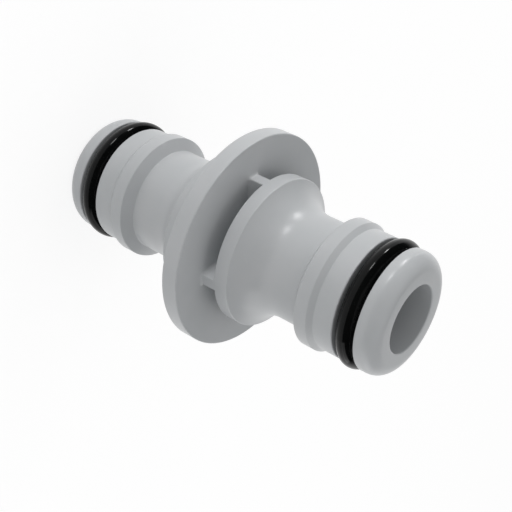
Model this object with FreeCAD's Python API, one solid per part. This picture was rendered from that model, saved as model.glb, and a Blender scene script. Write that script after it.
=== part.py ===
import FreeCAD, Part
import math
import os

# A straight connector that joins two garden hoses: one moulded body with a plug at each end,
# and a rubber ring seated in the groove of each plug.
# Sizes are in millimetres. The axis is Z, the body stands on its lower plug with Z = 0 at the
# plug's end, and the two halves are alike about the middle of the centre disc.

# Centre disc, which the fingers hold and which keeps the two sockets apart
disc_diameter = 29.0
disc_thickness = 2.3

# Flange above and below the disc, where the body starts to flare out
flange_diameter = 20.0
flange_thickness = 1.85
flange_gap = 2.2
hub_diameter = 12.0

# Ribs that bridge each gap between the disc and a flange
rib_count = 4
rib_thickness = 1.5

# Waist, where the claws of a socket close in behind the collar
waist_diameter = 14.0
waist_length = 3.6
flare_radius = 5.0

# Collar that the claws hold, with its sloped back and its lead-in chamfer
collar_diameter = 17.0
collar_slope_length = 0.9
collar_width = 1.75
chamfer_length = 0.7

# Plug beyond the collar, with the groove for the rubber ring
plug_diameter = 16.0
barrel_length = 2.7
groove_width = 2.95
groove_depth = 2.0
nose_length = 2.8
nose_rounding = 2.0

# Water way
bore_diameter = 8.9

# Rubber ring, which rests on the floor of the groove and stands proud of the plug
ring_section_diameter = 2.4
ring_seat_clearance = 0.02

disc_radius = disc_diameter / 2
flange_radius = flange_diameter / 2
hub_radius = hub_diameter / 2
waist_radius = waist_diameter / 2
collar_radius = collar_diameter / 2
plug_radius = plug_diameter / 2
bore_radius = bore_diameter / 2
groove_radius = plug_radius - groove_depth
ring_section_radius = ring_section_diameter / 2

# Heights above the middle of the disc, each built on the one before it
flare_step = flange_radius - waist_radius
flare_length = math.sqrt(flare_radius ** 2 - (flare_radius - flare_step) ** 2)

disc_face = disc_thickness / 2
flange_back = disc_face + flange_gap
flange_front = flange_back + flange_thickness
flare_end = flange_front + flare_length
waist_end = flare_end + waist_length
collar_back = waist_end + collar_slope_length
collar_front = collar_back + collar_width
chamfer_end = collar_front + chamfer_length
groove_start = chamfer_end + barrel_length
groove_end = groove_start + groove_width
plug_end = groove_end + nose_length


def point(radius, height):
    return FreeCAD.Vector(radius, 0, height)


def straight_run(*corners):
    """Straight edges through corners of (radius, height)."""
    places = [point(radius, height) for radius, height in corners]
    return [Part.LineSegment(start, end).toShape() for start, end in zip(places, places[1:])]


def round_edge(centre_radius, centre_height, arc_radius, start_angle, end_angle):
    """Arc about (centre_radius, centre_height). An angle of 0 points away from the axis."""
    places = []
    for angle in (start_angle, (start_angle + end_angle) / 2, end_angle):
        places.append(point(centre_radius + arc_radius * math.cos(angle),
                            centre_height + arc_radius * math.sin(angle)))
    return Part.Arc(*places).toShape()


def half_section():
    """Half of the body's section, from the middle of the disc to the end of one plug."""
    disc_and_flange = straight_run(
        (bore_radius, 0),
        (disc_radius, 0),
        (disc_radius, disc_face),
        (hub_radius, disc_face),
        (hub_radius, flange_back),
        (flange_radius, flange_back),
        (flange_radius, flange_front),
    )

    # Hollow curve from the sharp rim of the flange down to the waist, which it meets smoothly
    flare_centre = waist_radius + flare_radius
    rim_angle = math.atan2(flange_front - flare_end, flange_radius - flare_centre)
    flare = round_edge(flare_centre, flare_end, flare_radius, rim_angle, -math.pi)

    waist_to_nose = straight_run(
        (waist_radius, flare_end),
        (waist_radius, waist_end),
        (collar_radius, collar_back),
        (collar_radius, collar_front),
        (plug_radius, chamfer_end),
        (plug_radius, groove_start),
        (groove_radius, groove_start),
        (groove_radius, groove_end),
        (plug_radius, groove_end),
        (plug_radius, plug_end - nose_rounding),
    )
    nose_centre = plug_radius - nose_rounding
    nose = round_edge(nose_centre, plug_end - nose_rounding, nose_rounding, 0, math.pi / 2)

    end_and_bore = straight_run(
        (nose_centre, plug_end),
        (bore_radius, plug_end),
        (bore_radius, 0),
    )
    outline = Part.Wire(disc_and_flange + [flare] + waist_to_nose + [nose] + end_and_bore)
    return Part.Face(outline)


def rib(turn):
    """Plate in the gap between disc and flange, rooted in both and flush with the flange's rim."""
    root = (bore_radius + hub_radius) / 2
    bottom = disc_face / 2
    height = (flange_back + flange_front) / 2 - bottom
    plate = Part.makeBox(flange_radius - root, rib_thickness, height,
                         FreeCAD.Vector(root, -rib_thickness / 2, bottom))
    rim = Part.makeCylinder(flange_radius, height, FreeCAD.Vector(0, 0, bottom))
    plate = plate.common(rim)
    plate.rotate(FreeCAD.Vector(0, 0, 0), FreeCAD.Vector(0, 0, 1), turn)
    return plate


def connector_body():
    upper = half_section().revolve(FreeCAD.Vector(0, 0, 0), FreeCAD.Vector(0, 0, 1), 360)
    upper = upper.fuse([rib(360 * i / rib_count) for i in range(rib_count)])
    lower = upper.mirror(FreeCAD.Vector(0, 0, 0), FreeCAD.Vector(0, 0, 1))
    body = upper.fuse(lower).removeSplitter()
    return raised(body)


def rubber_ring(side):
    """Ring on the floor of one groove, midway along it: side is 1 for the upper plug, -1 for the lower."""
    centre_radius = groove_radius + ring_seat_clearance + ring_section_radius
    middle = (groove_start + groove_end) / 2
    return raised(Part.makeTorus(centre_radius, ring_section_radius, FreeCAD.Vector(0, 0, side * middle)))


def raised(shape):
    """The shape lifted from the middle of the disc, so that the lower plug's end is at Z = 0."""
    shape.translate(FreeCAD.Vector(0, 0, plug_end))
    return shape


pieces = {
    "connector_body": connector_body(),
    "upper_o_ring": rubber_ring(1),
    "lower_o_ring": rubber_ring(-1),
}

os.makedirs("parts", exist_ok=True)
for name, shape in pieces.items():
    shape.exportStep(f"parts/{name}.step")
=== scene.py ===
import math

import bpy
import numpy as np
from mathutils import Matrix, Vector


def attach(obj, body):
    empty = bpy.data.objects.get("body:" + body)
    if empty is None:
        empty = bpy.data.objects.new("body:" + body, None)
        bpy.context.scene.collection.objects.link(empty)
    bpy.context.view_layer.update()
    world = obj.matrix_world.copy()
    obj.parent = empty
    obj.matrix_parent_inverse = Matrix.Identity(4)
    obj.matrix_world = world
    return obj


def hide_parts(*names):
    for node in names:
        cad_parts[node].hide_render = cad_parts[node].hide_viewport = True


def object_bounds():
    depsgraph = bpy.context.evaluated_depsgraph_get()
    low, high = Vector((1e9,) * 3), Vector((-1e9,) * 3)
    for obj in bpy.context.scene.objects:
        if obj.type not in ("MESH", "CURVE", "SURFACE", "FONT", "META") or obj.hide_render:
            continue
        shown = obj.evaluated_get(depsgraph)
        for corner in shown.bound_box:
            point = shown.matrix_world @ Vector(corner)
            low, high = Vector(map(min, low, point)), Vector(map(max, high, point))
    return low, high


# A grey moulded hose coupling with two black rubber rings, standing on its lower plug.
# Lengths are in metres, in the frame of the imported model: Z is the coupling's axis.

MM = 0.001

# Sizes of the moulded body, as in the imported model
disc_radius = 14.5 * MM
disc_thickness = 2.3 * MM
flange_radius = 10.0 * MM
flange_thickness = 1.85 * MM
flange_gap = 2.2 * MM
hub_radius = 6.0 * MM
rib_count = 4
rib_thickness = 1.5 * MM
waist_radius = 7.0 * MM
waist_length = 3.6 * MM
flare_radius = 5.0 * MM
collar_radius = 8.5 * MM
collar_slope_length = 0.9 * MM
collar_width = 1.75 * MM
chamfer_length = 0.7 * MM
plug_radius = 8.0 * MM
barrel_length = 2.7 * MM
groove_width = 2.95 * MM
groove_depth = 2.0 * MM
nose_rounding = 2.0 * MM
bore_radius = 4.45 * MM

# What the mould leaves on every edge, and round the foot of each rib
edge_rounding = 0.15 * MM
rib_foot_rounding = 0.4 * MM

# How deep a rib is rooted in the disc and the flange, and how far its end keeps inside the flange's rim
rib_root_depth = 0.3 * MM
rib_inset = 0.002 * MM

# How finely the body is divided, and how far the flat shading beside an edge reaches
turn_steps = 160
flare_steps = 24
nose_steps = 12
edge_steps = 4
rib_end_steps = 6
rib_foot_steps = 6
edge_margin = 0.02 * MM

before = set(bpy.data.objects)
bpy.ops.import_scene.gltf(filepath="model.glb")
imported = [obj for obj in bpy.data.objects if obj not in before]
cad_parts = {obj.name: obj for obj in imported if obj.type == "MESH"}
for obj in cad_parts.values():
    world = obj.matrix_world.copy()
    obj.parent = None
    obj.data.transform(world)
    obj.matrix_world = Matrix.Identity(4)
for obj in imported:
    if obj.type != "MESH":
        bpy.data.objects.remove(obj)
cad_low, cad_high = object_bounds()

middle = Vector((0, 0, (cad_low.z + cad_high.z) / 2))


def unit(vectors):
    """Each row divided by its length."""
    return vectors / np.linalg.norm(vectors, axis=1, keepdims=True)


def arc(centre, radius, start, end, steps):
    """Points centre + radius (cos a, sin a), at even steps of the angle a."""
    angle = np.linspace(start, end, steps + 1)[:, None]
    return np.array(centre) + radius * np.hstack([np.cos(angle), np.sin(angle)])


def round_off(before, corners, after):
    """A line through corners, each turned by an arc of edge_rounding that touches both of its sides.

    With back and ahead the unit vectors from a corner to its neighbours, and half the angle between
    them, the arc's centre lies edge_rounding / sin half from the corner, midway between the two. From
    there the arc is edge_rounding (cos s first - sin s back), for s from 0 to pi - 2 half, where first
    points at the side behind. One more point on each side keeps what lies between two arcs flat.
    """
    chain = np.array([before, *corners, after])
    corner = chain[1:-1]
    back = unit(chain[:-2] - corner)
    ahead = unit(chain[2:] - corner)
    half = np.arccos((back * ahead).sum(axis=1, keepdims=True)) / 2
    centre = corner + unit(back + ahead) * edge_rounding / np.sin(half)
    first = unit(corner + back * edge_rounding / np.tan(half) - centre)
    sweep = ((np.pi - 2 * half) * np.linspace(0, 1, edge_steps + 1))[..., None]
    bend = np.cos(sweep) * first[:, None] - np.sin(sweep) * back[:, None]
    curve = centre[:, None] + edge_rounding * bend
    enters = curve[:, :1] + edge_margin * back[:, None]
    leaves = curve[:, -1:] + edge_margin * ahead[:, None]
    return np.concatenate([enters, curve, leaves], axis=1).reshape(-1, 2)


def half_section():
    """Upper half of the body's section, as points of (radius, height above the middle of the disc).

    Only the flange's corner towards the disc stays sharp, because the ribs end flush with its rim there.
    """
    flare_inset = flare_radius - (flange_radius - waist_radius)
    flare_length = math.sqrt(flare_radius ** 2 - flare_inset ** 2)
    disc_face = disc_thickness / 2
    flange_back = disc_face + flange_gap
    flange_front = flange_back + flange_thickness
    flare_end = flange_front + flare_length
    waist_end = flare_end + waist_length
    collar_back = waist_end + collar_slope_length
    collar_front = collar_back + collar_width
    chamfer_end = collar_front + chamfer_length
    groove_start = chamfer_end + barrel_length
    groove_end = groove_start + groove_width
    groove_radius = plug_radius - groove_depth
    plug_end = middle.z

    flare_centre = waist_radius + flare_radius
    rim_angle = math.atan2(-flare_length, flange_radius - flare_centre)
    flare = arc((flare_centre, flare_end), flare_radius, rim_angle, -math.pi, flare_steps)
    nose_centre = plug_radius - nose_rounding
    nose = arc((nose_centre, plug_end - nose_rounding), nose_rounding, 0, math.pi / 2, nose_steps)

    flange_corner = (flange_radius, flange_back)
    disc = round_off((disc_radius, 0), [
        (disc_radius, disc_face),
        (hub_radius, disc_face),
        (hub_radius, flange_back),
    ], flange_corner)
    rim = round_off(flange_corner, [(flange_radius, flange_front)], flare[1])
    plug = round_off((waist_radius, flare_end), [
        (waist_radius, waist_end),
        (collar_radius, collar_back),
        (collar_radius, collar_front),
        (plug_radius, chamfer_end),
        (plug_radius, groove_start),
        (groove_radius, groove_start),
        (groove_radius, groove_end),
        (plug_radius, groove_end),
    ], nose[0])
    mouth = round_off(nose[-1], [(bore_radius, plug_end)], (bore_radius, 0))
    return np.concatenate([disc, [flange_corner], rim, flare[1:], plug, nose, mouth])


def turned(section):
    """A closed section swept about Z: (radius cos t, radius sin t, height), at even turns t."""
    turn = np.linspace(0, 2 * np.pi, turn_steps, endpoint=False)[:, None]
    radius, height = section.T
    height = np.broadcast_to(height, (turn_steps, len(height)))
    return np.stack([radius * np.cos(turn), radius * np.sin(turn), height], axis=-1)


def rib():
    """Plate that stands on the disc's upper face and reaches into the flange, flush with its rim.

    Its plan is the same at every height, apart from a round fillet at its foot: at the height h above
    the disc, up to R, the plan grows outwards by R - sqrt(R^2 - (R - h)^2), where R is
    rib_foot_rounding.
    """
    root = (bore_radius + hub_radius) / 2
    side = rib_thickness / 2
    end_angle = math.asin(side / flange_radius)
    end = arc((0, 0), flange_radius - rib_inset, -end_angle, end_angle, rib_end_steps)
    first_corner = round_off((root, -side), end[:1], end[1])
    last_corner = round_off(end[-2], end[-1:], (root, side))
    plan = np.concatenate([[(root, -side)], first_corner, end[2:-2], last_corner, [(root, side)]])
    along = np.roll(plan, -1, axis=0) - np.roll(plan, 1, axis=0)
    outwards = unit(along[:, ::-1] * (1, -1))
    outwards[0] = (0, -1)
    outwards[-1] = (0, 1)

    foot = rib_foot_rounding * (1 - np.cos(np.linspace(0, np.pi / 2, rib_foot_steps + 1)))
    height = np.concatenate([[-rib_root_depth], foot, [flange_gap + rib_root_depth]])
    below_top = rib_foot_rounding - np.clip(height, 0, rib_foot_rounding)
    growth = rib_foot_rounding - np.sqrt(rib_foot_rounding ** 2 - below_top ** 2)
    plans = plan + growth[:, None, None] * outwards
    level = np.broadcast_to(disc_thickness / 2 + height[:, None, None], plans.shape[:2] + (1,))
    return np.concatenate([plans, level], axis=-1)


def grid_faces(rows, columns):
    """Quads between neighbours on a grid that closes on itself both ways."""
    index = np.arange(rows * columns).reshape(rows, columns)
    next_column = np.roll(index, -1, axis=1)
    next_row = np.roll(index, -1, axis=0)
    return np.stack([index, next_column, np.roll(next_column, -1, axis=0), next_row], axis=-1)


def mesh_object(name, points, faces):
    """An object at the origin, made of an array of points and a list of faces."""
    mesh = bpy.data.meshes.new(name)
    mesh.from_pydata(points.reshape(-1, 3).tolist(), [], faces)
    piece = bpy.data.objects.new(name, mesh)
    bpy.context.scene.collection.objects.link(piece)
    return piece


def all_ribs():
    """The rib turned to each of its places, above and below the disc, as one object of closed plates."""
    upper = rib()
    lower = (upper * (1, 1, -1))[::-1]
    copies = []
    for place in range(rib_count):
        turn = np.array(Matrix.Rotation(2 * math.pi * place / rib_count, 3, "Z"))
        copies += [upper @ turn.T, lower @ turn.T]
    points = np.stack(copies) + np.array(middle)

    count, rows, columns = points.shape[:3]
    start = np.arange(count)[:, None, None] * rows * columns
    walls = start + grid_faces(rows, columns)[:-1].reshape(-1, 4)
    bottom = np.arange(columns)[::-1]
    top = np.arange(columns) + (rows - 1) * columns
    caps = start + np.stack([bottom, top])
    faces = walls.reshape(-1, 4).tolist() + caps.reshape(-1, columns).tolist()
    return mesh_object("ribs", points, faces)


def moulded_body():
    """The whole body with every edge rounded: both halves of its section turned, and joined to the ribs."""
    upper = half_section()
    section = np.concatenate([upper, upper[::-1] * (1, -1)])
    points = turned(section) + np.array(middle)
    faces = grid_faces(turn_steps, len(section))[..., ::-1]
    body = mesh_object("moulded_body", points, faces.reshape(-1, 4).tolist())

    ribs = all_ribs()
    join = body.modifiers.new("ribs", "BOOLEAN")
    join.operation = "UNION"
    join.solver = "MANIFOLD"
    join.object = ribs
    shaped = body.evaluated_get(bpy.context.evaluated_depsgraph_get())
    joined = bpy.data.meshes.new_from_object(shaped)
    body.modifiers.clear()
    body.data = joined
    bpy.data.objects.remove(ribs)

    sharpest_smooth_angle = math.radians(30)
    joined.name = "moulded_body"
    joined.shade_smooth()
    joined.set_sharp_from_angle(angle=sharpest_smooth_angle)
    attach(body, "root")
    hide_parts("connector_body")
    return body


def linear(hex_colour):
    """sRGB hex value to the linear colour that shaders take."""
    channels = [int(hex_colour[i:i + 2], 16) / 255 for i in (1, 3, 5)]
    straight = [c / 12.92 if c <= 0.04045 else ((c + 0.055) / 1.055) ** 2.4 for c in channels]
    return (*straight, 1.0)


WHITE = linear("#FFFFFF")


def add_node(tree, kind, links=None, inputs=None, **settings):
    """A node of that kind, with its settings, its fixed inputs, and its inputs fed by other sockets."""
    node = tree.nodes.new(kind)
    for name, value in settings.items():
        setattr(node, name, value)
    for name, value in (inputs or {}).items():
        node.inputs[name].default_value = value
    for name, socket in (links or {}).items():
        tree.links.new(socket, node.inputs[name])
    return node


def new_material(name):
    """An empty node material and its output node."""
    material = bpy.data.materials.new(name)
    material.use_nodes = True
    tree = material.node_tree
    tree.nodes.clear()
    return material, tree, add_node(tree, "ShaderNodeOutputMaterial")


def patches(tree, grain, detail, low, high):
    """A value that drifts between low and high over a piece, in soft patches of that many metres.

    The noise that it comes from seldom leaves the range from 0.3 to 0.7, which is stretched to fit.
    """
    place = add_node(tree, "ShaderNodeTexCoord")
    noise = add_node(tree, "ShaderNodeTexNoise", {"Vector": place.outputs["Object"]}, {
        "Scale": 1 / grain, "Detail": detail, "Roughness": 0.5})
    fitted = add_node(tree, "ShaderNodeMapRange", {"Value": noise.outputs["Fac"]}, {
        "From Min": 0.3, "From Max": 0.7, "To Min": low, "To Max": high})
    return fitted.outputs["Result"]


def mould_skin(tree, grain, depth, strength):
    """Relief that the mould's own surface leaves. It is drawn coarser than it is, so that it shows."""
    place = add_node(tree, "ShaderNodeTexCoord")
    noise = add_node(tree, "ShaderNodeTexNoise", {"Vector": place.outputs["Object"]}, {
        "Scale": 1 / grain, "Detail": 2, "Roughness": 0.5})
    relief = add_node(tree, "ShaderNodeBump", {"Height": noise.outputs["Fac"]}, {
        "Strength": strength, "Distance": depth})
    return relief.outputs["Normal"]


def moulded_plastic():
    """Grey acetal from a polished mould: satin, even in colour, with a trace of flow mottling."""
    material, tree, output = new_material("satin_moulded_acetal_grey")
    flow = add_node(tree, "ShaderNodeMix", {"Factor": patches(tree, 6 * MM, 3, 0, 1)}, {
        "A": linear("#BCBFC1"), "B": linear("#C1C3C5")}, data_type="RGBA")
    plastic = add_node(tree, "ShaderNodeBsdfPrincipled", {
        "Base Color": flow.outputs["Result"],
        "Roughness": patches(tree, 1.5 * MM, 3, 0.29, 0.32),
        "Normal": mould_skin(tree, 0.25 * MM, 0.004 * MM, 0.12),
    }, {"IOR": 1.48})
    tree.links.new(plastic.outputs["BSDF"], output.inputs["Surface"])
    return material


def seal_rubber():
    """Black nitrile rubber, moulded smooth and a little greasy, so that it takes sharp streaks of light."""
    material, tree, output = new_material("moulded_nitrile_rubber_black")
    bloom = add_node(tree, "ShaderNodeMix", {"Factor": patches(tree, 2.5 * MM, 4, 0, 1)}, {
        "A": linear("#080909"), "B": linear("#0E0F0F")}, data_type="RGBA")
    rubber = add_node(tree, "ShaderNodeBsdfPrincipled", {
        "Base Color": bloom.outputs["Result"],
        "Roughness": patches(tree, 2.5 * MM, 4, 0.11, 0.14),
        "Normal": mould_skin(tree, 0.2 * MM, 0.003 * MM, 0.2),
    }, {"IOR": 1.52, "Specular IOR Level": 0.12})
    tree.links.new(rubber.outputs["BSDF"], output.inputs["Surface"])
    return material


def finish_nodes():
    """Gives the moulded body and the two packed rings their real finish."""
    plastic = moulded_plastic()
    rubber = seal_rubber()
    for piece, finish, slot in (
        (moulded_body(), plastic, "grey_plastic"),
        (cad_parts["upper_o_ring"], rubber, "black_rubber"),
        (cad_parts["lower_o_ring"], rubber, "black_rubber"),
    ):
        piece.data.materials.clear()
        piece.data.materials.append(finish)


def background_rays(tree):
    """Two values: 1 for rays from the camera, and 1 for rays that were mirrored or passed through."""
    ray = add_node(tree, "ShaderNodeLightPath").outputs
    mirrored = add_node(tree, "ShaderNodeMath", {
        0: ray["Is Glossy Ray"], 1: ray["Is Transmission Ray"]}, operation="MAXIMUM")
    return ray["Is Camera Ray"], mirrored.outputs["Value"]


def studio_floor():
    """A wide pale floor under the coupling.

    To the camera and in what is mirrored, most of it is a glow that reads as white, and the rest is
    lit paper, which keeps a faint shadow. Only the paper lights the coupling.
    """
    half_width = 2.0
    glow_strength = 1.13
    glow_share = 0.73
    corners = half_width * np.array([(-1, -1, 0), (1, -1, 0), (1, 1, 0), (-1, 1, 0)])
    floor = mesh_object("studio_floor", corners, [(0, 1, 2, 3)])

    material, tree, output = new_material("matte_white_paper")
    from_camera, mirrored = background_rays(tree)
    seen = add_node(tree, "ShaderNodeMath", {0: from_camera, 1: mirrored}, operation="MAXIMUM")
    share = add_node(tree, "ShaderNodeMath", {0: seen.outputs["Value"]}, {1: glow_share},
                     operation="MULTIPLY")
    paper = add_node(tree, "ShaderNodeBsdfDiffuse", None, {"Color": linear("#F9F9F9")})
    glow = add_node(tree, "ShaderNodeEmission", None, {"Color": WHITE, "Strength": glow_strength})
    surface = add_node(tree, "ShaderNodeMixShader", {
        0: share.outputs["Value"], 1: paper.outputs["BSDF"], 2: glow.outputs["Emission"]})
    tree.links.new(surface.outputs["Shader"], output.inputs["Surface"])
    floor.data.materials.append(material)


def direction(azimuth, elevation):
    """Unit vector towards a place at that azimuth and elevation in degrees: azimuth 0 is -Y, 90 is +X."""
    turn = math.radians(azimuth)
    rise = math.radians(elevation)
    return Vector((math.sin(turn) * math.cos(rise), -math.cos(turn) * math.cos(rise), math.sin(rise)))


def studio_air():
    """Even soft light from all round, which the camera sees as white.

    In what is mirrored, a white backdrop stands opposite the photographer and fades out at its edge,
    and the photographer's own side is dark.
    """
    soft_light = 0.536
    photographer = direction(45, 35)
    backdrop_edge = math.cos(math.radians(110))
    backdrop_whole = math.cos(math.radians(130))

    world = bpy.data.worlds.new("studio_air")
    bpy.context.scene.world = world
    world.use_nodes = True
    tree = world.node_tree
    tree.nodes.clear()
    looked_at = add_node(tree, "ShaderNodeTexCoord")
    towards = add_node(tree, "ShaderNodeVectorMath", {0: looked_at.outputs["Generated"]},
                       {1: photographer}, operation="DOT_PRODUCT")
    backdrop = add_node(tree, "ShaderNodeMapRange", {"Value": towards.outputs["Value"]}, {
        "From Min": backdrop_edge, "From Max": backdrop_whole, "To Min": 0, "To Max": 1},
        interpolation_type="SMOOTHSTEP")

    from_camera, mirrored = background_rays(tree)
    soft = add_node(tree, "ShaderNodeBackground", None, {"Color": WHITE, "Strength": soft_light})
    behind = add_node(tree, "ShaderNodeBackground", {"Strength": backdrop.outputs["Result"]}, {
        "Color": WHITE})
    seen = add_node(tree, "ShaderNodeBackground", None, {"Color": WHITE, "Strength": 1})
    not_seen = add_node(tree, "ShaderNodeMixShader", {
        0: mirrored, 1: soft.outputs["Background"], 2: behind.outputs["Background"]})
    air = add_node(tree, "ShaderNodeMixShader", {
        0: from_camera, 1: not_seen.outputs["Shader"], 2: seen.outputs["Background"]})
    output = add_node(tree, "ShaderNodeOutputWorld")
    tree.links.new(air.outputs["Shader"], output.inputs["Surface"])


def soft_box(name, azimuth, elevation, distance, width, height, power):
    """A rectangular soft lamp that faces the middle of the coupling."""
    lamp = bpy.data.lights.new(name, "AREA")
    lamp.shape = "RECTANGLE"
    lamp.size = width
    lamp.size_y = height
    lamp.energy = power
    holder = bpy.data.objects.new(name, lamp)
    away = direction(azimuth, elevation)
    holder.location = middle + away * distance
    holder.rotation_mode = "QUATERNION"
    holder.rotation_quaternion = (-away).to_track_quat("-Z", "Y")
    holder.visible_camera = False
    bpy.context.scene.collection.objects.link(holder)


def studio_lamps():
    """Two small lamps low in front, which give the bright spots, and two wide ones behind and above."""
    soft_box("key_lamp", azimuth=-38, elevation=-0.6, distance=0.3, width=0.05, height=0.03, power=0.175)
    soft_box("front_lamp", azimuth=-1, elevation=-0.6, distance=0.3, width=0.065, height=0.03, power=0.16)
    soft_box("back_lamp", azimuth=155, elevation=10, distance=0.4, width=0.35, height=0.15, power=0.2)
    soft_box("top_lamp", azimuth=0, elevation=90, distance=0.4, width=0.4, height=0.4, power=0.16)


def photo_camera():
    """The photograph's own view: a long lens that looks down on the coupling, turned far on its side."""
    azimuth = 45.0
    elevation = 30.27
    roll = 116.70
    distance = 137.13 * MM
    centre_right = 1.27 * MM
    centre_down = 2.35 * MM

    back = direction(azimuth, elevation)
    level = (-back).to_track_quat("-Z", "Y").to_matrix()
    turn = level @ Matrix.Rotation(math.radians(roll), 3, "Z")
    right = turn.col[0]
    up = turn.col[1]

    camera = bpy.data.cameras.new("photo_camera")
    camera.sensor_width = 36
    camera.lens = 75
    camera.clip_start = 10 * MM
    holder = bpy.data.objects.new("photo_camera", camera)
    holder.location = middle + back * distance + right * centre_right - up * centre_down
    holder.rotation_mode = "QUATERNION"
    holder.rotation_quaternion = turn.to_quaternion()
    bpy.context.scene.collection.objects.link(holder)
    bpy.context.scene.camera = holder


finish_nodes()
studio_floor()
studio_air()
studio_lamps()
photo_camera()
bpy.context.scene.view_settings.view_transform = "Standard"
